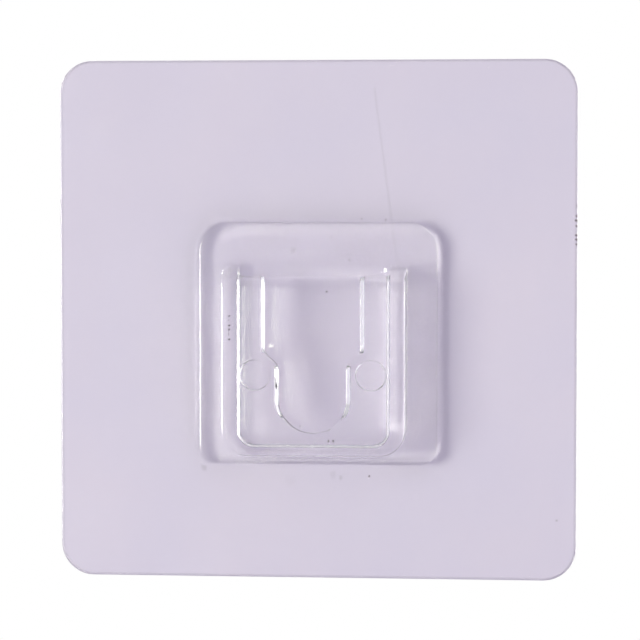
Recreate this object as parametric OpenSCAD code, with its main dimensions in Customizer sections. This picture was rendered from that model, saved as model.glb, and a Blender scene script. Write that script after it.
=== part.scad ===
// Clear adhesive wall hook: a self-adhesive square sheet with an upward-open slot-in socket on its front.
// Millimetres. The origin is the middle of the adhesive's back, where the wall's surface is.
// +X points right, +Z up the wall, and the front of the hook faces -Y.

/* [Backing sheet] */
// Width of the clear sheet
sheet_w = 60; // [50:1:90]
// Height of the clear sheet
sheet_h = 60; // [50:1:90]
// Radius of the sheet's corners
sheet_corner_r = 3.8; // [2.5:0.1:8]
// Thickness of the sheet
sheet_t = 0.5; // [0.3:0.1:2]

/* [Adhesive pad] */
// Thickness of the adhesive
adhesive_t = 0.9; // [0.3:0.05:1.5]
// Margin left between the adhesive's edge and the sheet's edge
adhesive_inset = 0.1; // [0.1:0.1:1.5]

/* [Release liner] */
// Thickness of the peel-off film
liner_t = 0.12; // [0.05:0.01:0.3]
// Margin left between the film's edge and the sheet's edge
liner_inset = 0.1; // [0.1:0.1:1]

/* [Bond film] */
// Thickness of the clear glue between the socket and the sheet
bond_t = 0.1; // [0.05:0.01:0.3]
// Margin left between the glue's edge and the edge of the socket's base
bond_inset = 0.3; // [0.1:0.1:1]

/* [Socket base] */
// Width of the base plate
base_w = 28; // [26:0.5:40]
// Height of the base plate
base_h = 28; // [26:0.5:40]
// Thickness of the base plate
base_t = 1.5; // [1.2:0.1:4]
// Distance from the sheet's centre down to the base plate's centre
base_drop = 2.65; // [0:0.05:5]
// Radius of the base plate's upper corners
base_top_r = 3.4; // [2:0.1:5]
// Radius of the base plate's lower corners
base_bottom_r = 1.9; // [1.7:0.1:4]
// Rounding of the base plate's front edge
base_edge_r = 0.65; // [0.1:0.05:0.8]

/* [Pocket] */
// Inside width of the pocket
pocket_w = 17.5; // [15:0.1:20]
// Height of the pocket, from its floor to the lip's top edge
pocket_h = 19.25; // [18.5:0.05:22]
// Radius of the pocket's lower inside corners
pocket_corner_r = 1.9; // [0.5:0.1:4]
// Clear gap between the base plate's front and the lip's back, which takes the tongue of the mating piece
slot_gap = 2.7; // [1.9:0.1:4]
// Thickness of the front lip
lip_t = 1.2; // [1:0.1:3]
// Thickness of the pocket's side walls
side_wall = 1.85; // [1.2:0.05:3]
// Thickness of the wall under the pocket
floor_wall = 0.95; // [0.8:0.05:2]
// Step from the base plate's lower edge up to the wall under the pocket
floor_step = 1.3; // [0.2:0.1:2]
// Height of the window in the base plate above the lip's top edge
window_rise = 0.3; // [0:0.1:2]

/* [Outer form of the pocket] */
// Radius of the lower outside corners
block_corner_r = 3.1; // [1.5:0.1:5]
// Radius of the upper outside corners
block_end_r = 0.5; // [0.5:0.1:1.8]
// Rounding of the front edges
block_edge_r = 0.4; // [0.1:0.1:0.4]
// Distance that the upper ends slope out from the lip's top edge to their foot
end_slope = 1.3; // [0.3:0.1:3]

/* [Lip notch] */
// Width of the notch at its open mouth
notch_mouth_w = 10.9; // [9:0.1:13]
// Width of the notch at its round lower end
notch_neck_w = 7.75; // [5:0.05:9]
// Depth of the wide mouth
notch_mouth_depth = 8.4; // [4:0.1:10]
// Height of the slanted shoulders between mouth and neck
notch_shoulder_h = 1.5; // [0.5:0.1:3]
// Depth of the whole notch, from the lip's top edge to its round lower end
notch_depth = 17.55; // [14.5:0.05:18]
// Sideways flare of the notch at the lip's back
notch_flare = 0.5; // [0.1:0.1:0.9]

/* [Ejector marks] */
// Radius of the round mould marks on the lip's back
mark_r = 1.85; // [1:0.05:2]
// Distance between the two marks' centres
mark_spacing = 13.3; // [12.5:0.1:13.5]
// Distance from the lip's top edge down to the marks' centres
mark_drop = 10.95; // [8:0.05:14]
// Depth of the marks in the lip's back
mark_depth = 0.2; // [0.05:0.05:0.4]

/* [Hidden] */
$fn = 48;

// Facets of the rounded edges and corners that are blended together
blend_facets = 32;

// How far cuts run past the surface that they open
cut_overrun = 1;

// Distances in front of the wall
sheet_back = adhesive_t;
sheet_front = sheet_back + sheet_t;
base_back = sheet_front + bond_t;
base_front = base_back + base_t;
lip_back = base_front + slot_gap;
lip_front = lip_back + lip_t;

// Heights on the wall, from the sheet's centre
base_bottom = -base_drop - base_h / 2;
base_top = -base_drop + base_h / 2;
block_bottom = base_bottom + floor_step;
pocket_floor = block_bottom + floor_wall;
lip_top = pocket_floor + pocket_h;
block_foot = lip_top + end_slope;
window_top = lip_top + window_rise;
notch_bottom = lip_top - notch_depth;
shoulder_top = lip_top - notch_mouth_depth;
shoulder_bottom = shoulder_top - notch_shoulder_h;
mark_z = lip_top - mark_drop;

block_w = pocket_w + 2 * side_wall;

// Colours of the clear plastic, the adhesive under it and the film behind both
socket_colour = [0.87, 0.85, 0.91, 0.45];
sheet_colour = [0.85, 0.82, 0.88, 0.5];
adhesive_colour = [0.84, 0.81, 0.87, 0.6];
liner_colour = [0.83, 0.8, 0.86];

// Turns a drawing in X and Z upright and gives it depth towards the front, starting this far from the wall
module towards_front(start, depth) {
    translate([0, -start, 0])
        rotate([90, 0, 0])
            linear_extrude(depth)
                children();
}

// Square outline about the origin with four equal round corners
module rounded_square(w, h, r) {
    square([w, h - 2 * r], center = true);
    square([w - 2 * r, h], center = true);
    for (x = [-1, 1], z = [-1, 1])
        translate([x * (w / 2 - r), z * (h / 2 - r)])
            circle(r);
}

// Outline from one height to another that has round lower corners and a square upper end
module pocket_outline(w, bottom, top, r) {
    translate([-w / 2, bottom + r])
        square([w, top - bottom - r]);
    translate([-w / 2 + r, bottom])
        square([w - 2 * r, top - bottom]);
    for (x = [-1, 1])
        translate([x * (w / 2 - r), bottom + r])
            circle(r);
}

// Outline of the base plate: larger upper corners than lower ones, drawn this far inside its edge
module base_outline(inset) {
    top_r = base_top_r - inset;
    bottom_r = base_bottom_r - inset;
    half_w = base_w / 2 - inset;
    wide_bottom = base_bottom + base_bottom_r;
    wide_top = base_top - base_top_r;
    translate([-half_w, wide_bottom])
        square([2 * half_w, wide_top - wide_bottom]);
    translate([-half_w + top_r, wide_bottom])
        square([2 * (half_w - top_r), base_top - inset - wide_bottom]);
    translate([-half_w + bottom_r, base_bottom + inset])
        square([2 * (half_w - bottom_r), wide_top - base_bottom - inset]);
    for (x = [-1, 1]) {
        translate([x * (half_w - top_r), wide_top])
            circle(top_r);
        translate([x * (half_w - bottom_r), wide_bottom])
            circle(bottom_r);
    }
}

// Round post from the back to the front, with a rounded front edge, that forms one corner of a blended plate
module corner_post(x, z, back, front, r, edge_r) {
    translate([x, -back, z])
        rotate([90, 0, 0])
            rotate_extrude($fn = blend_facets) {
                square([r - edge_r, front - back]);
                square([r, front - back - edge_r]);
                translate([r - edge_r, front - back - edge_r])
                    intersection() {
                        circle(edge_r, $fn = blend_facets);
                        square(edge_r);
                    }
            }
}

// Base plate with a rounded front edge
module base_plate() {
    hull()
        for (x = [-1, 1]) {
            corner_post(x * (base_w / 2 - base_top_r), base_top - base_top_r,
                base_back, base_front, base_top_r, base_edge_r);
            corner_post(x * (base_w / 2 - base_bottom_r), base_bottom + base_bottom_r,
                base_back, base_front, base_bottom_r, base_edge_r);
        }
}

// Outside of the pocket, sunk into the base plate, with upper ends that slope down to their foot
module pocket_block() {
    root = base_back + base_t / 2;
    end_x = block_w / 2 - block_end_r;
    hull()
        for (x = [-1, 1]) {
            corner_post(x * (block_w / 2 - block_corner_r), block_bottom + block_corner_r,
                root, lip_front, block_corner_r, block_edge_r);
            corner_post(x * end_x, lip_top - block_end_r, root, lip_front, block_end_r, block_edge_r);
            translate([x * end_x, -root, block_foot - block_end_r])
                rotate([90, 0, 0])
                    cylinder(h = base_front - root, r = block_end_r, $fn = blend_facets);
        }
}

// Space behind the lip, open at the top, and the window through the base plate under it
module pocket_space() {
    towards_front(base_front, slot_gap)
        pocket_outline(pocket_w, pocket_floor, block_foot + cut_overrun, pocket_corner_r);
    towards_front(base_back - cut_overrun, base_t + cut_overrun + slot_gap / 2)
        pocket_outline(pocket_w, pocket_floor, window_top, pocket_corner_r);
}

// Cuts a convex outline through the lip, with a sideways flare at the lip's back
module flared_cut() {
    towards_front(lip_back, lip_t + cut_overrun)
        children();
    hull() {
        for (x = [-1, 1])
            translate([x * notch_flare, 0, 0])
                towards_front(lip_back - slot_gap / 2, slot_gap / 2)
                    children();
        towards_front(lip_back + notch_flare, lip_t - notch_flare)
            children();
    }
}

// Outline of the notch's neck, from its round lower end up to this height
module neck_outline(top) {
    arc_z = notch_bottom + notch_neck_w / 2;
    translate([-notch_neck_w / 2, arc_z])
        square([notch_neck_w, top - arc_z]);
    translate([0, arc_z])
        circle(d = notch_neck_w);
}

// Keyhole-shaped notch in the lip: a wide mouth, slanted shoulders and a narrower neck with a round end
module notch() {
    mouth_x = notch_mouth_w / 2;
    neck_x = notch_neck_w / 2;
    open_z = block_foot + cut_overrun;
    flared_cut()
        polygon([
            [-mouth_x, open_z], [mouth_x, open_z], [mouth_x, shoulder_top],
            [neck_x, shoulder_bottom], [-neck_x, shoulder_bottom], [-mouth_x, shoulder_top]
        ]);
    flared_cut()
        neck_outline(open_z);
}

// Round marks that the mould's ejector pins leave in the lip's back
module ejector_marks() {
    for (x = [-1, 1])
        translate([x * mark_spacing / 2, -(lip_back - slot_gap / 2), mark_z])
            rotate([90, 0, 0])
                cylinder(h = slot_gap / 2 + mark_depth, r = mark_r);
}

// One clear moulding: base plate, pocket walls and the notched lip
module hook_socket() {
    color(socket_colour)
        difference() {
            union() {
                base_plate();
                pocket_block();
            }
            pocket_space();
            notch();
            ejector_marks();
        }
}

// Thin glue layer under the base plate, left out under its window
module bond_film() {
    color(socket_colour)
        difference() {
            towards_front(sheet_front, bond_t)
                base_outline(bond_inset);
            towards_front(sheet_front - cut_overrun, bond_t + 2 * cut_overrun)
                pocket_outline(pocket_w, pocket_floor, window_top, pocket_corner_r);
        }
}

// Clear square sheet that carries the socket
module backing_sheet() {
    color(sheet_colour)
        towards_front(sheet_back, sheet_t)
            rounded_square(sheet_w, sheet_h, sheet_corner_r);
}

// Adhesive on the sheet's back
module adhesive_pad() {
    color(adhesive_colour)
        towards_front(0, adhesive_t)
            rounded_square(sheet_w - 2 * adhesive_inset, sheet_h - 2 * adhesive_inset,
                sheet_corner_r - adhesive_inset);
}

// Film that covers the adhesive until the hook is used
module release_liner() {
    color(liner_colour)
        towards_front(-liner_t, liner_t)
            rounded_square(sheet_w - 2 * liner_inset, sheet_h - 2 * liner_inset,
                sheet_corner_r - liner_inset);
}

hook_socket();
bond_film();
backing_sheet();
adhesive_pad();
release_liner();
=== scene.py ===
from math import cos, radians, sin

import bpy
import numpy as np
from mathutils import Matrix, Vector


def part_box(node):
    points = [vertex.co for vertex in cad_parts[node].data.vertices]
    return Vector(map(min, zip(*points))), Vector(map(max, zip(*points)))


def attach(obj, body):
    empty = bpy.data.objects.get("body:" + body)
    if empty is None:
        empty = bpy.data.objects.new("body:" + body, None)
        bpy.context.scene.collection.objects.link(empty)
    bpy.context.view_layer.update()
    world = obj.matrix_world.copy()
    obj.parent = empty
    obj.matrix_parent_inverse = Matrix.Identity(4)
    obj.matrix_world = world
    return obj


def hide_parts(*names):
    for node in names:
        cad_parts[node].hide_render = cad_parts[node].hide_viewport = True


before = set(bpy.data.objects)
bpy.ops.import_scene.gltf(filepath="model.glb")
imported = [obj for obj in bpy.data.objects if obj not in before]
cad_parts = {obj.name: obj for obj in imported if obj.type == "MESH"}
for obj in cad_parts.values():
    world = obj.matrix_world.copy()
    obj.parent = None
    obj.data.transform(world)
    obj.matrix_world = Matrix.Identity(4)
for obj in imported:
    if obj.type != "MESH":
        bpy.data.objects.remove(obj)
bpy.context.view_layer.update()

import openvdb
from mathutils import Vector

# Millimetres in the scene's metres
MM = 0.001


def box_mm(node):
    """Lowest and highest corner of a CAD node, in millimetres."""
    low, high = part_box(node)
    return low / MM, high / MM


# Sizes in millimetres: x to the right, z up, and depths measured from the wall towards the front
SOCKET_LOW, SOCKET_HIGH = box_mm("hook_socket")
SHEET_LOW, SHEET_HIGH = box_mm("backing_sheet")
PAD_LOW, PAD_HIGH = box_mm("adhesive_pad")
LINER_LOW, LINER_HIGH = box_mm("release_liner")
BOND_LOW, BOND_HIGH = box_mm("bond_film")

# Flat layers
SHEET_FRONT = -SHEET_LOW.y
SHEET_CORNER_R = 3.8
SHEET_EDGE_R = 0.12
LAYER_EDGE_R = 0.05

# Base plate and the bevel along its front edge
BASE_HALF_W = SOCKET_HIGH.x
BASE_BOTTOM = SOCKET_LOW.z
BASE_TOP = SOCKET_HIGH.z
BASE_BACK = -SOCKET_HIGH.y
BASE_T = 1.5
BASE_FRONT = BASE_BACK + BASE_T
BASE_TOP_R = 3.4
BASE_BOTTOM_R = 1.9
BASE_BEVEL_W = 0.65
BASE_BEVEL_H = 0.35
BASE_EDGE_R = 0.06
BASE_CREASE_R = 0.03
BASE_BACK_R = 0.19

# Lip, pocket and the slot between lip and base plate
LIP_FRONT = -SOCKET_LOW.y
LIP_T = 1.2
LIP_BACK = LIP_FRONT - LIP_T
MID_SLOT = (BASE_FRONT + LIP_BACK) / 2
POCKET_HALF_W = 8.75
POCKET_H = 19.25
POCKET_CORNER_R = 1.9
POCKET_EDGE_R = 0.1
SLOT_BEVEL = 0.3
SLOT_BEVEL_SLOPE = 1.08
SLOT_CORNER_R = 0.05
WALL_FOOT_R = 1.1

# Outside of the pocket
SIDE_WALL = 1.85
FLOOR_STEP = 1.3
FLOOR_WALL = 0.95
BLOCK_HALF_W = POCKET_HALF_W + SIDE_WALL
BLOCK_BOTTOM = BASE_BOTTOM + FLOOR_STEP
BLOCK_CORNER_R = 3.1
BLOCK_END_R = 0.4
BLOCK_EDGE_R = 0.4
BLOCK_FOOT_R = 0.25
POCKET_FLOOR = BLOCK_BOTTOM + FLOOR_WALL
LIP_TOP = POCKET_FLOOR + POCKET_H
END_SLOPE = 1.3

# Shallow recess in the base plate behind the lip, with a sloping upper edge
RECESS_RISE = 0.3
RECESS_TOP = LIP_TOP + RECESS_RISE
RECESS_EDGE_H = 1.2
RECESS_DEPTH = 0.3

# Notch in the lip
MOUTH_HALF_W = 5.45
MOUTH_DEPTH = 8.4
NECK_HALF_W = 3.875
NOTCH_DEPTH = 17.55
SHOULDER_H = 1.5
SHOULDER_R = 0.3
SHOULDER_TOP = LIP_TOP - MOUTH_DEPTH
SHOULDER_BOTTOM = SHOULDER_TOP - SHOULDER_H
NECK_ARC_Z = LIP_TOP - NOTCH_DEPTH + NECK_HALF_W
NOTCH_EDGE_R = 0.06

# Flare of the notch: its width and slope, its share at the shoulders, the height over which it changes
# there, and its pinch at the 45 degree points of the notch's end
NOTCH_FLARE = 0.5
FLARE_SLOPE = 1.06
FLARE_LEAST_SHARE = 0.2
FLARE_RUNOUT = 0.05
FLARE_PINCH_Z = NECK_ARC_Z - NECK_HALF_W * np.sqrt(0.5)
FLARE_PINCH_H = 0.7
FLARE_PINCH_FLAT = 0.2

# Ejector marks in the lip's back
MARK_R = 1.8
MARK_X = 6.65
MARK_DROP = 10.95
MARK_Z = LIP_TOP - MARK_DROP
MARK_H = 0.12
MARK_EDGE_W = 0.135

# Dust, smudges and edge flecks that show in the sheet: x, z, radius and darkness
DUST = (
    (1.2, 3.3, 0.14, 0.8), (0.2, -6.1, 0.1, 0.4), (-1.9, -12.3, 0.16, 0.3),
    (1.45, -14.0, 0.17, 0.9), (2.0, -13.95, 0.18, 0.9), (-0.2, -14.3, 0.12, 0.4),
    (-2.7, 8.1, 0.5, 0.12), (3.8, 7.0, 0.13, 0.35), (6.2, 6.45, 0.12, 0.35),
    (1.8, 9.6, 0.18, 0.25), (5.2, 11.7, 0.16, 0.3), (8.0, 11.6, 0.16, 0.35),
    (1.0, -16.7, 0.14, 0.6), (6.1, -18.1, 0.12, 0.6), (27.8, -23.0, 0.2, 0.25),
    (-13.2, -17.3, 0.5, 0.1), (-3.1, -18.8, 0.9, 0.03), (1.9, -18.0, 0.6, 0.06),
    (2.8, -18.3, 0.35, 0.09), (-10.0, 0.5, 0.14, 0.95), (-10.05, 0.0, 0.1, 0.8),
    (-9.95, -0.6, 0.16, 0.95), (-10.0, -1.1, 0.18, 0.95), (-10.05, -1.6, 0.12, 0.9),
    (-10.0, -2.2, 0.15, 0.95), (29.93, 13.2, 0.2, 0.6), (29.93, 12.0, 0.22, 0.85),
    (29.93, 11.5, 0.22, 0.9), (29.93, 10.9, 0.22, 0.9), (29.93, 9.8, 0.2, 0.85),
    (29.93, 9.3, 0.24, 0.95), (29.93, 8.8, 0.2, 0.85), (29.93, 4.3, 0.15, 0.5),
)

# Hairline scratch: x where it crosses mid-height, its lean, its two ends, its half width and its darkness
SCRATCH_X = 10.2
SCRATCH_LEAN = -0.132
SCRATCH_LOW = 5.6
SCRATCH_HIGH = 26.8
SCRATCH_HALF_W = 0.24
SCRATCH_DARKNESS = 0.06

# Painted shade along the sheet's rim, in place of light bent away at its cut edge: its width and how dark
# it is at the very edge
RIM_W = 0.35
RIM_SHADE_DARKNESS = 0.3

# Towards the main lamp: left and front
KEY_DIRECTION = (-0.735, -0.678, 0.0)

# Air left between layers, so that no two clear surfaces lie in the same place
LAYER_GAP = 0.015

# Shortest length that a field divides by, and the step over which its growth is measured
LEAST_LENGTH = 0.01
GRADIENT_STEP = 0.002

# Meshing: how far from the surface a field is kept, the rounds that pull the mesh onto the surface,
# and the least growth and the least normal that are divided by
FIELD_REACH = 1.0
PULL_ROUNDS = 4
LEAST_GROWTH = 0.25
LEAST_NORMAL = 1e-6

# Grid lines: samples in a fine step, and how much a step grows with its distance from an edge
SAMPLES_PER_STEP = 4
STEP_GROWTH = 0.5


def rounded_both(a, b, r):
    """Field of what lies in a and in b, with their common edge rounded by r."""
    corner = np.hypot(np.maximum(a + r, 0), np.maximum(b + r, 0))
    return np.minimum(np.maximum(a, b), -r) + corner


def rounded_either(a, b, r):
    """Field of what lies in a or in b, with the inner corner between them filled by r."""
    return -rounded_both(-a, -b, r)


def cup_outline(x, z, half_w, bottom, corner_r):
    """Outline with round lower corners that is open at the top."""
    return rounded_both(np.abs(x) - half_w, bottom - z, corner_r)


def square_outline(x, z, half_w, half_h, corner_r):
    """Outline about the origin with four equal round corners."""
    return rounded_both(np.abs(x) - half_w, np.abs(z) - half_h, corner_r)


def base_outline(x, z):
    """Outline of the socket's base plate."""
    lower = cup_outline(x, z, BASE_HALF_W, BASE_BOTTOM, BASE_BOTTOM_R)
    return rounded_both(lower, z - BASE_TOP, BASE_TOP_R)


def base_plate(x, z, d):
    """Base plate with a shallow bevel along its front edge and a rounded back edge."""
    outline = base_outline(x, z)
    bevel = (outline + BASE_BEVEL_W) * BASE_BEVEL_H + (d - BASE_FRONT) * BASE_BEVEL_W
    sides = rounded_both(outline, bevel / np.hypot(BASE_BEVEL_W, BASE_BEVEL_H), BASE_EDGE_R)
    plate = rounded_both(sides, d - BASE_FRONT, BASE_CREASE_R)
    return rounded_both(plate, BASE_BACK - d, BASE_BACK_R)


def pocket_block(x, z, d):
    """Outside of the pocket, with upper ends that slope down to the base plate."""
    run = LIP_FRONT - BASE_FRONT
    slope = ((z - LIP_TOP) * run + (d - LIP_FRONT) * END_SLOPE) / np.hypot(run, END_SLOPE)
    walls = cup_outline(x, z, BLOCK_HALF_W, BLOCK_BOTTOM, BLOCK_CORNER_R)
    block = rounded_both(walls, slope, BLOCK_END_R)
    block = rounded_both(block, d - LIP_FRONT, BLOCK_EDGE_R)
    return np.maximum(block, (BASE_BACK + BASE_FRONT) / 2 - d)


def pocket_space(x, z, d):
    """Slot behind the lip, bevelled at the lip, and the shallow recess in the base plate."""
    inside = cup_outline(x, z, POCKET_HALF_W, POCKET_FLOOR, POCKET_CORNER_R)
    bevel = ((inside + SLOT_BEVEL) * SLOT_BEVEL_SLOPE + d - LIP_BACK) / np.hypot(SLOT_BEVEL_SLOPE, 1)
    slot = rounded_both(rounded_both(inside, bevel, SLOT_CORNER_R), d - LIP_BACK, SLOT_CORNER_R)
    slot = rounded_both(slot, BASE_FRONT - d, WALL_FOOT_R)
    edge_slope = RECESS_EDGE_H / RECESS_DEPTH
    edge_z = RECESS_TOP + (d - BASE_FRONT) * edge_slope
    below_edge = (z - edge_z) / np.hypot(edge_slope, 1)
    recess = np.maximum(np.maximum(inside, below_edge), d - MID_SLOT)
    return np.minimum(slot, np.maximum(recess, BASE_FRONT - RECESS_DEPTH - d))


def flare_share(x, z):
    """1 along the notch's upright edges, less at its shoulders, and falling to 0 round its end.

    It is pinched where the end's edge lies at 45 degrees, because light caught there makes it black.
    """
    mouth = np.clip((z - SHOULDER_TOP) / FLARE_RUNOUT, 0, 1)
    below_shoulder = np.clip((SHOULDER_BOTTOM - z) / FLARE_RUNOUT, 0, 1)
    upright = FLARE_LEAST_SHARE + (1 - FLARE_LEAST_SHARE) * np.maximum(mouth, below_shoulder)
    pinch = np.clip(np.abs(z - FLARE_PINCH_Z) / FLARE_PINCH_H - FLARE_PINCH_FLAT, 0, 1)
    below_arc = np.minimum(z - NECK_ARC_Z, 0)
    from_centre = np.maximum(np.hypot(x, below_arc), LEAST_LENGTH)
    return upright * pinch * np.abs(x) / from_centre


def notch(x, z, d):
    """Keyhole-shaped notch through the lip that widens towards the lip's back."""
    flare_depth = NOTCH_FLARE * FLARE_SLOPE * flare_share(x, z)
    widening = np.maximum(LIP_BACK + flare_depth - d, 0) / FLARE_SLOPE
    across = np.abs(x)
    below_arc = np.minimum(z - NECK_ARC_Z, 0)
    neck = np.hypot(across, below_arc) - NECK_HALF_W
    rise = SHOULDER_TOP - SHOULDER_BOTTOM
    run = MOUTH_HALF_W - NECK_HALF_W
    shoulder = (SHOULDER_BOTTOM - z) * run + (across - NECK_HALF_W) * rise
    mouth = rounded_both(across - MOUTH_HALF_W, shoulder / np.hypot(rise, run), SHOULDER_R)
    outline = rounded_either(neck, mouth, SHOULDER_R)
    # The flare lies near 45 degrees, where this field grows faster by the square root of 2
    flared = (outline - widening) / np.sqrt(2)
    return np.maximum(np.minimum(flared, outline), MID_SLOT - d)


def ejector_marks(x, z, d):
    """Two round marks that are sunk into the lip's back, clear of the slot's bevel."""
    away = np.hypot(np.abs(x) - MARK_X, z - MARK_Z) - MARK_R
    cone = (away * MARK_H + (d - LIP_BACK) * MARK_EDGE_W) / np.hypot(MARK_H, MARK_EDGE_W)
    sides = np.maximum(cone, np.abs(x) - POCKET_HALF_W + SLOT_BEVEL)
    return np.maximum(np.maximum(sides, d - LIP_BACK - MARK_H), MID_SLOT - d)


def hook_socket(x, z, d):
    """The whole clear moulding."""
    solid = rounded_either(base_plate(x, z, d), pocket_block(x, z, d), BLOCK_FOOT_R)
    solid = rounded_both(solid, -pocket_space(x, z, d), POCKET_EDGE_R)
    solid = rounded_both(solid, -notch(x, z, d), NOTCH_EDGE_R)
    return np.maximum(solid, -ejector_marks(x, z, d))


def plate_field(half_w, half_h, corner_r, back, front, edge_r):
    """Field of a flat square plate with round corners and rounded edges."""
    def field(x, z, d):
        outline = square_outline(x, z, half_w, half_h, corner_r)
        faces = np.abs(d - (back + front) / 2) - (front - back) / 2
        return rounded_both(outline, faces, edge_r)
    return field


def bond_film(x, z, d):
    """Thin glue under the base plate, with a hole under the recess."""
    inset = BASE_HALF_W - BOND_HIGH.x
    hole = cup_outline(x, z, POCKET_HALF_W, POCKET_FLOOR, POCKET_CORNER_R)
    outline = np.maximum(base_outline(x, z) + inset, -np.maximum(hole, z - RECESS_TOP))
    half_t = (BASE_BACK - SHEET_FRONT) / 2 - LAYER_GAP
    return np.maximum(outline, np.abs(d - (BASE_BACK + SHEET_FRONT) / 2) - half_t)


def grid_line(low, high, edges, fine, coarse):
    """Grid coordinates from low to high with fine steps near the edges and coarse ones between them."""
    spacing = fine / SAMPLES_PER_STEP
    samples = np.arange(low, high, spacing)
    away = np.min(np.abs(samples[:, None] - np.array(edges)), axis=1)
    step = np.clip(away * STEP_GROWTH, fine, coarse)
    count = np.cumsum(spacing / step)
    return np.interp(np.arange(count[0], count[-1]), count, samples)


def gradient(field, x, z, d):
    """How fast the field grows along x, z and depth."""
    step = GRADIENT_STEP
    return np.stack([
        field(x + step, z, d) - field(x - step, z, d),
        field(x, z + step, d) - field(x, z - step, d),
        field(x, z, d + step) - field(x, z, d - step),
    ], axis=1) / (2 * step)


def mesh_from_field(name, field, x_line, z_line, d_line):
    """Closed quad mesh of the surface where the field is zero, smoothed by the field's own normals."""
    values = field(x_line[:, None, None], z_line[None, :, None], d_line[None, None, :])
    near_values = np.clip(values, -FIELD_REACH, FIELD_REACH)
    grid = openvdb.FloatGrid(FIELD_REACH)
    grid.copyFromArray(np.ascontiguousarray(near_values, dtype=np.float32))
    points, quads = grid.convertToQuads()
    x, z, d = (
        np.interp(points[:, axis], np.arange(len(line)), line)
        for axis, line in enumerate((x_line, z_line, d_line))
    )
    for _ in range(PULL_ROUNDS):
        slope = gradient(field, x, z, d)
        pull = field(x, z, d) / np.maximum((slope ** 2).sum(1), LEAST_GROWTH)
        x, z, d = x - pull * slope[:, 0], z - pull * slope[:, 1], d - pull * slope[:, 2]
    slope = gradient(field, x, z, d)
    normals = np.stack([slope[:, 0], -slope[:, 2], slope[:, 1]], axis=1)
    normals /= np.maximum(np.linalg.norm(normals, axis=1, keepdims=True), LEAST_NORMAL)
    corners = np.stack([x, -d, z], axis=1)
    faces = corners[quads]
    turn = np.cross(faces[:, 2] - faces[:, 0], faces[:, 3] - faces[:, 1])
    if (turn * normals[quads[:, 0]]).sum() < 0:
        quads = quads[:, ::-1]
    mesh = bpy.data.meshes.new(name)
    mesh.from_pydata((corners * MM).tolist(), [], quads.tolist())
    mesh.validate()
    mesh.shade_smooth()
    mesh.normals_split_custom_set_from_vertices(normals.tolist())
    piece = bpy.data.objects.new(name, mesh)
    bpy.context.scene.collection.objects.link(piece)
    return piece


def both_sides(values):
    """The values and their mirror images about zero."""
    return values + [-value for value in values]


def socket_piece():
    """The clear socket as a finely meshed piece."""
    margin = 0.5
    fine, coarse = 0.1, 0.35
    fine_d, coarse_d = 0.05, 0.2
    halves = [
        BASE_HALF_W, BASE_HALF_W - BASE_BEVEL_W, BLOCK_HALF_W, POCKET_HALF_W,
        MOUTH_HALF_W, MOUTH_HALF_W + NOTCH_FLARE, NECK_HALF_W, NECK_HALF_W + NOTCH_FLARE,
        MARK_X - MARK_R, MARK_X + MARK_R,
    ]
    heights = [
        BASE_BOTTOM, BASE_BOTTOM + BASE_BEVEL_W, BLOCK_BOTTOM, POCKET_FLOOR, NECK_ARC_Z - NECK_HALF_W,
        SHOULDER_BOTTOM, SHOULDER_TOP, MARK_Z - MARK_R, MARK_Z + MARK_R, LIP_TOP,
        LIP_TOP + END_SLOPE, RECESS_TOP, RECESS_TOP - RECESS_EDGE_H,
        BASE_TOP - BASE_BEVEL_W, BASE_TOP,
    ]
    depths = [
        BASE_BACK, BASE_FRONT - BASE_BEVEL_H, BASE_FRONT, LIP_BACK, LIP_BACK + MARK_H,
        LIP_BACK + NOTCH_FLARE, LIP_FRONT,
    ]
    x_line = grid_line(-BASE_HALF_W - margin, BASE_HALF_W + margin, both_sides(halves), fine, coarse)
    z_line = grid_line(BASE_BOTTOM - margin, BASE_TOP + margin, heights, fine, coarse)
    d_line = grid_line(BASE_BACK - margin, LIP_FRONT + margin, depths, fine_d, coarse_d)
    return mesh_from_field("clear_socket", hook_socket, x_line, z_line, d_line)


def plate_piece(name, low, high, edge_r, gap):
    """One flat layer, this much air short of its neighbours."""
    margin = 0.4
    fine, coarse = 0.08, 1.5
    fine_d, coarse_d = edge_r / 4, edge_r
    back, front = -high.y + gap, -low.y - gap
    corner_r = SHEET_CORNER_R - (SHEET_HIGH.x - high.x)
    field = plate_field(high.x, high.z, corner_r, back, front, edge_r)
    x_line = grid_line(low.x - margin, high.x + margin, [low.x, high.x], fine, coarse)
    z_line = grid_line(low.z - margin, high.z + margin, [low.z, high.z], fine, coarse)
    d_line = grid_line(back - margin, front + margin, [back, front], fine_d, coarse_d)
    return mesh_from_field(name, field, x_line, z_line, d_line)


def bond_piece():
    """The glue film."""
    margin = 0.4
    fine, coarse = 0.12, 1.0
    fine_d, coarse_d = 0.02, 0.05
    halves = [BOND_HIGH.x, POCKET_HALF_W]
    heights = [BOND_LOW.z, POCKET_FLOOR, RECESS_TOP, BOND_HIGH.z]
    depths = [SHEET_FRONT, BASE_BACK]
    x_line = grid_line(-BASE_HALF_W, BASE_HALF_W, both_sides(halves), fine, coarse)
    z_line = grid_line(BASE_BOTTOM, BASE_TOP, heights, fine, coarse)
    d_line = grid_line(SHEET_FRONT - margin, BASE_BACK + margin, depths, fine_d, coarse_d)
    return mesh_from_field("clear_glue_film", bond_film, x_line, z_line, d_line)


def add_node(tree, kind, inputs=None, **settings):
    """One shader node; an input takes a value or another node's output socket."""
    made = tree.nodes.new(kind)
    for key, value in settings.items():
        setattr(made, key, value)
    for key, value in (inputs or {}).items():
        if isinstance(value, bpy.types.NodeSocket):
            tree.links.new(value, made.inputs[key])
        else:
            made.inputs[key].default_value = value
    return made


def maths(tree, operation, *values):
    """Result of one Math node."""
    made = add_node(tree, "ShaderNodeMath", dict(enumerate(values)), operation=operation)
    return made.outputs[0]


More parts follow.
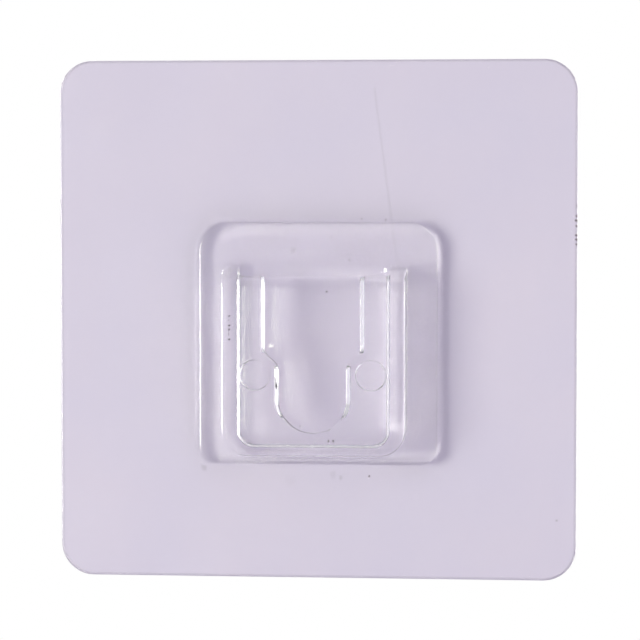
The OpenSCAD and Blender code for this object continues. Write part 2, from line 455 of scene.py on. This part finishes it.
def noise(tree, place, scale, detail=2.0):
    """Soft cloudy pattern between 0 and 1, with this many clouds to the metre."""
    made = add_node(tree, "ShaderNodeTexNoise", {"Vector": place, "Scale": scale, "Detail": detail})
    return made.outputs["Fac"]


def spread(tree, value, from_low, from_high, to_low, to_high):
    """Maps one range of values to another."""
    made = add_node(tree, "ShaderNodeMapRange", {
        "Value": value,
        "From Min": from_low,
        "From Max": from_high,
        "To Min": to_low,
        "To Max": to_high,
    })
    return made.outputs["Result"]


def clouds(tree, place, scale, low, high, detail=2.0, reach=0.2):
    """Soft clouds between two values, reached this far to either side of the pattern's middle."""
    return spread(tree, noise(tree, place, scale, detail), 0.5 - reach, 0.5 + reach, low, high)


def bump(tree, height, strength, distance):
    """Normal of a surface with this relief."""
    made = add_node(tree, "ShaderNodeBump", {
        "Height": height,
        "Strength": strength,
        "Distance": distance,
    })
    return made.outputs["Normal"]


def tint(tree, share, colour_a, colour_b):
    """Colour between two others."""
    colours = {"Factor": share, "A": colour_a, "B": colour_b}
    made = add_node(tree, "ShaderNodeMix", colours, data_type="RGBA")
    return made.outputs["Result"]


def mix_shaders(tree, share, first, second):
    """Mix of two shaders, with this share of the second."""
    parts = {0: share, 1: first.outputs[0], 2: second.outputs[0]}
    return add_node(tree, "ShaderNodeMixShader", parts)


def new_material(name):
    """An empty node material with its output node."""
    material = bpy.data.materials.new(name)
    material.use_nodes = True
    tree = material.node_tree
    tree.nodes.clear()
    output = add_node(tree, "ShaderNodeOutputMaterial")
    return material, tree, output


def object_coordinates(tree):
    """Coordinates that stay with the piece, in metres."""
    return add_node(tree, "ShaderNodeTexCoord").outputs["Object"]


def clear_moulding():
    """Polished clear plastic with a trace of haze and faint flow marks."""
    material, tree, output = new_material("clear_moulding")
    place = object_coordinates(tree)
    flow = noise(tree, place, scale=220.0)
    shader = add_node(tree, "ShaderNodeBsdfPrincipled", {
        "Base Color": (0.998, 0.995, 1.0, 1),
        "Roughness": clouds(tree, place, scale=900.0, low=0.01, high=0.04, reach=0.15),
        "IOR": 1.5,
        "Transmission Weight": 0.98,
        "Normal": bump(tree, flow, strength=0.02, distance=0.0002),
    })
    tree.links.new(shader.outputs[0], output.inputs["Surface"])
    return material


def dust_mask(tree, x, z):
    """Small ragged spots where dust is caught."""
    flat_place = add_node(tree, "ShaderNodeCombineXYZ", {"X": x, "Y": z}).outputs[0]
    ragged = clouds(tree, flat_place, scale=3000.0, low=0.6, high=1.7)
    total = 0.0
    for spot_x, spot_z, radius, darkness in DUST:
        centre = (spot_x * MM, spot_z * MM, 0)
        away = add_node(tree, "ShaderNodeVectorMath", {0: flat_place, 1: centre}, operation="DISTANCE")
        ragged_away = maths(tree, "MULTIPLY", away.outputs["Value"], ragged)
        spot = spread(tree, ragged_away, radius * MM / 2, radius * MM, darkness, 0.0)
        total = maths(tree, "MAXIMUM", total, spot)
    return total


def scratch_mask(tree, x, z):
    """Hairline that leans a little and stops at two heights."""
    line_x = maths(tree, "MULTIPLY_ADD", z, SCRATCH_LEAN, SCRATCH_X * MM)
    away = maths(tree, "ABSOLUTE", maths(tree, "SUBTRACT", x, line_x))
    line = spread(tree, away, 0.0, SCRATCH_HALF_W * MM, SCRATCH_DARKNESS, 0.0)
    above = maths(tree, "GREATER_THAN", z, SCRATCH_LOW * MM)
    below = maths(tree, "LESS_THAN", z, SCRATCH_HIGH * MM)
    return maths(tree, "MULTIPLY", line, maths(tree, "MULTIPLY", above, below))


def past_inset(tree, value, inset):
    """How far a coordinate lies beyond this distance from the middle, on either side."""
    beyond = maths(tree, "SUBTRACT", maths(tree, "ABSOLUTE", value), inset * MM)
    return maths(tree, "MAXIMUM", beyond, 0.0)


def painted_rim_shade_mask(tree, x, z):
    """Painted shade along the sheet's cut edge, which follows the round corners and fades inwards."""
    across = past_inset(tree, x, SHEET_HIGH.x - SHEET_CORNER_R)
    upwards = past_inset(tree, z, SHEET_HIGH.z - SHEET_CORNER_R)
    corner = add_node(tree, "ShaderNodeCombineXYZ", {"X": across, "Y": upwards}).outputs[0]
    away = add_node(tree, "ShaderNodeVectorMath", {0: corner}, operation="LENGTH").outputs["Value"]
    return spread(tree, away, (SHEET_CORNER_R - RIM_W) * MM, SHEET_CORNER_R * MM, 0.0, RIM_SHADE_DARKNESS)


def clear_sheet():
    """Soft clear sheet with dust, a hairline and painted shade along its rim.

    Shadow and diffuse rays pass straight through it, so that the layer behind it is lit.
    """
    material, tree, output = new_material("clear_sheet")
    place = object_coordinates(tree)
    axes = add_node(tree, "ShaderNodeSeparateXYZ", {"Vector": place})
    x, z = axes.outputs["X"], axes.outputs["Z"]
    marks = maths(tree, "MAXIMUM", dust_mask(tree, x, z), scratch_mask(tree, x, z))
    # Adds the painted shade along the rim to the dust and the hairline
    marks = maths(tree, "MAXIMUM", marks, painted_rim_shade_mask(tree, x, z))
    clean = (0.99, 0.985, 0.995, 1)
    # Colour of the dust and the hairline, and of the painted shade along the rim
    dirt_and_shade = (0.1, 0.06, 0.08, 1)
    grain = noise(tree, place, scale=400.0)
    shader = add_node(tree, "ShaderNodeBsdfPrincipled", {
        "Base Color": tint(tree, marks, clean, dirt_and_shade),
        "Roughness": clouds(tree, place, scale=120.0, low=0.16, high=0.24),
        "IOR": 1.5,
        "Transmission Weight": 1.0,
        "Normal": bump(tree, grain, strength=0.02, distance=0.0002),
    })
    path = add_node(tree, "ShaderNodeLightPath")
    light_ray = maths(tree, "MAXIMUM", path.outputs["Is Shadow Ray"], path.outputs["Is Diffuse Ray"])
    through = add_node(tree, "ShaderNodeBsdfTransparent")
    surface = mix_shaders(tree, light_ray, shader, through)
    tree.links.new(surface.outputs[0], output.inputs["Surface"])
    return material


def clear_glue():
    """Thin glue, hardly to be seen."""
    material, tree, output = new_material("clear_glue")
    place = object_coordinates(tree)
    shader = add_node(tree, "ShaderNodeBsdfPrincipled", {
        "Base Color": (0.8, 0.76, 0.84, 1),
        "Roughness": 0.3,
        "Alpha": clouds(tree, place, scale=150.0, low=0.02, high=0.06),
    })
    tree.links.new(shader.outputs[0], output.inputs["Surface"])
    return material


def adhesive():
    """Milky lilac adhesive with faint pink and lilac clouds."""
    material, tree, output = new_material("adhesive")
    place = object_coordinates(tree)
    share = clouds(tree, place, scale=70.0, low=0.0, high=1.0, detail=3.0)
    lilac = (0.65, 0.603, 0.738, 1)
    pink = (0.673, 0.617, 0.738, 1)
    shader = add_node(tree, "ShaderNodeBsdfPrincipled", {
        "Base Color": tint(tree, share, lilac, pink),
        "Roughness": 0.5,
        "Specular IOR Level": 0.0,
    })
    tree.links.new(shader.outputs[0], output.inputs["Surface"])
    return material


def liner_film():
    """Milky film with soft waves and cloudy gloss."""
    material, tree, output = new_material("liner_film")
    place = object_coordinates(tree)
    share = clouds(tree, place, scale=45.0, low=0.0, high=1.0, detail=4.0)
    darker = (0.64, 0.6, 0.705, 1)
    paler = (0.7, 0.66, 0.745, 1)
    stretched = add_node(tree, "ShaderNodeMapping", {
        "Vector": place,
        "Rotation": (0, 0.6, 0),
        "Scale": (1.0, 1.0, 0.25),
    }).outputs[0]
    waves = noise(tree, stretched, scale=110.0, detail=3.0)
    shader = add_node(tree, "ShaderNodeBsdfPrincipled", {
        "Base Color": tint(tree, share, darker, paler),
        "Roughness": clouds(tree, place, scale=60.0, low=0.2, high=0.42),
        "Normal": bump(tree, waves, strength=0.35, distance=0.0008),
    })
    tree.links.new(shader.outputs[0], output.inputs["Surface"])
    return material


def dress(piece, material, body, node):
    """Gives a piece its finish and ties it to the CAD node that it stands for."""
    piece.data.materials.append(material)
    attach(piece, body)
    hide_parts(node)


def make_camera():
    """Camera at the photograph's viewing angle."""
    azimuth, elevation = radians(5.33), radians(2.77)
    distance = 0.3
    aim_x = 0.4
    target = Vector((aim_x, -SHEET_FRONT, 0)) * MM
    back = Vector((sin(azimuth) * cos(elevation), -cos(azimuth) * cos(elevation), sin(elevation)))
    data = bpy.data.cameras.new("camera")
    data.sensor_width = 36
    data.lens = 145.8
    data.clip_start = 0.01
    camera = bpy.data.objects.new("camera", data)
    camera.location = target + back * distance
    camera.rotation_mode = "QUATERNION"
    camera.rotation_quaternion = (-back).to_track_quat("-Z", "Y")
    bpy.context.scene.collection.objects.link(camera)
    bpy.context.scene.camera = camera


def area_light(name, direction, distance, width, height, power, colour):
    """Soft rectangular lamp that faces the object from this direction."""
    data = bpy.data.lights.new(name, "AREA")
    data.shape = "RECTANGLE"
    data.size = width
    data.size_y = height
    data.energy = power
    data.color = colour
    lamp = bpy.data.objects.new(name, data)
    towards = Vector(direction).normalized()
    lamp.location = towards * distance
    lamp.rotation_mode = "QUATERNION"
    lamp.rotation_quaternion = (-towards).to_track_quat("-Z", "Y")
    bpy.context.scene.collection.objects.link(lamp)
    return lamp


def make_lamps():
    """Main lamp at the left, a nearer one that shows only in gloss, and a weak one for the back."""
    area_light(
        "key_light", KEY_DIRECTION, distance=2.5, width=1.1, height=1.1,
        power=37.5, colour=(0.95, 1.0, 0.78),
    )
    glint = area_light(
        "glint_light", KEY_DIRECTION, distance=1.4, width=0.5, height=0.3,
        power=18.0, colour=(1.0, 1.0, 1.0),
    )
    glint.visible_diffuse = False
    glint.visible_transmission = False
    area_light(
        "back_light", (-0.5, 0.85, 0.1), distance=1.5, width=0.5, height=0.5,
        power=6.0, colour=(1.0, 0.98, 0.95),
    )


def glossy_or_clear(tree, path):
    """1 for rays that a gloss or a clear piece sends on."""
    return maths(tree, "MAXIMUM", path.outputs["Is Glossy Ray"], path.outputs["Is Transmission Ray"])


def lobe(tree, along, strength):
    """Brightness that is strongest along one direction and none against it."""
    facing = maths(tree, "MAXIMUM", along, 0.0)
    return maths(tree, "MULTIPLY", maths(tree, "POWER", facing, 2.0), strength)


def room_brightness(tree):
    """Brightness of the room that clear pieces show: most at the left, then behind, then at the right."""
    direction = add_node(tree, "ShaderNodeTexCoord").outputs["Generated"]
    axes = add_node(tree, "ShaderNodeSeparateXYZ", {"Vector": direction})
    right, behind = axes.outputs["X"], axes.outputs["Y"]
    left = maths(tree, "MULTIPLY", right, -1.0)
    total = lobe(tree, right, strength=0.3)
    total = maths(tree, "ADD", total, lobe(tree, left, strength=0.75))
    total = maths(tree, "ADD", total, lobe(tree, behind, strength=0.5))
    all_round = 0.62
    return maths(tree, "ADD", total, all_round)


def make_world():
    """White background, a room for clear pieces to show, and an even soft light for surfaces."""
    world = bpy.data.worlds.new("studio")
    bpy.context.scene.world = world
    world.use_nodes = True
    tree = world.node_tree
    tree.nodes.clear()
    path = add_node(tree, "ShaderNodeLightPath")
    clear_ray = glossy_or_clear(tree, path)
    # 1 as long as a ray hasn't met a matt surface
    no_matt_yet = maths(tree, "LESS_THAN", path.outputs["Diffuse Depth"], 0.5)
    seen_clear = maths(tree, "MULTIPLY", clear_ray, no_matt_yet)
    soft_strength, through_clear_extra = 0.665, 0.05
    through_clear = path.outputs["Is Transmission Ray"]
    soft = add_node(tree, "ShaderNodeBackground", {
        "Color": (0.93, 0.91, 1.0, 1),
        "Strength": maths(tree, "MULTIPLY_ADD", through_clear, through_clear_extra, soft_strength),
    })
    room = add_node(tree, "ShaderNodeBackground", {
        "Color": (0.92, 0.89, 1.0, 1),
        "Strength": room_brightness(tree),
    })
    white = add_node(tree, "ShaderNodeBackground", {"Color": (1, 1, 1, 1), "Strength": 1.0})
    lit = mix_shaders(tree, seen_clear, soft, room)
    shown = mix_shaders(tree, path.outputs["Is Camera Ray"], lit, white)
    add_node(tree, "ShaderNodeOutputWorld", {"Surface": shown.outputs[0]})


def make_floor():
    """Plain pale floor with a glow of its own, stronger at its left for rays from clear pieces."""
    size, drop = 0.3, 0.1
    far_left, near_left, left_lift = -0.12, -0.03, 0.9
    least_lift, matt_lift = 0.1, 0.25
    corners = [(x * size, y * size, -drop) for x, y in ((-1, -1), (1, -1), (1, 1), (-1, 1))]
    mesh = bpy.data.meshes.new("floor")
    mesh.from_pydata(corners, [], [(0, 1, 2, 3)])
    floor = bpy.data.objects.new("floor", mesh)
    bpy.context.scene.collection.objects.link(floor)
    material, tree, output = new_material("floor_white")
    path = add_node(tree, "ShaderNodeLightPath")
    paint = add_node(tree, "ShaderNodeBsdfDiffuse", {"Color": (0.8, 0.8, 0.8, 1)})
    clear_ray = glossy_or_clear(tree, path)
    axes = add_node(tree, "ShaderNodeSeparateXYZ", {"Vector": object_coordinates(tree)})
    at_left = spread(tree, axes.outputs["X"], far_left, near_left, left_lift, 0.0)
    clear_lift = maths(tree, "MULTIPLY", clear_ray, at_left)
    seen_lift = maths(tree, "ADD", path.outputs["Is Camera Ray"], clear_lift)
    surface_lift = maths(tree, "MULTIPLY_ADD", path.outputs["Is Diffuse Ray"], matt_lift, least_lift)
    lift = add_node(tree, "ShaderNodeEmission", {
        "Color": (0.6, 0.57, 0.63, 1),
        "Strength": maths(tree, "ADD", seen_lift, surface_lift),
    })
    both = add_node(tree, "ShaderNodeAddShader", {0: paint.outputs[0], 1: lift.outputs[0]})
    tree.links.new(both.outputs[0], output.inputs["Surface"])
    mesh.materials.append(material)


def render_depth():
    """Enough bounces for light to cross all the clear layers and back, unblurred and without sparks."""
    bounces = 32
    cycles = bpy.context.scene.cycles
    cycles.max_bounces = bounces
    cycles.transmission_bounces = bounces
    cycles.transparent_max_bounces = bounces
    cycles.blur_glossy = 0.0
    cycles.sample_clamp_indirect = 20.0


make_camera()
make_world()
make_floor()
make_lamps()
render_depth()

dress(socket_piece(), clear_moulding(), "hook", "hook_socket")
dress(bond_piece(), clear_glue(), "hook", "bond_film")
sheet = plate_piece("clear_sheet", SHEET_LOW, SHEET_HIGH, SHEET_EDGE_R, 0)
dress(sheet, clear_sheet(), "hook", "backing_sheet")
pad = plate_piece("adhesive_layer", PAD_LOW, PAD_HIGH, LAYER_EDGE_R, LAYER_GAP)
dress(pad, adhesive(), "hook", "adhesive_pad")
liner = plate_piece("liner_film", LINER_LOW, LINER_HIGH, LAYER_EDGE_R, 0)
dress(liner, liner_film(), "liner", "release_liner")

bpy.context.scene.view_settings.view_transform = "Standard"
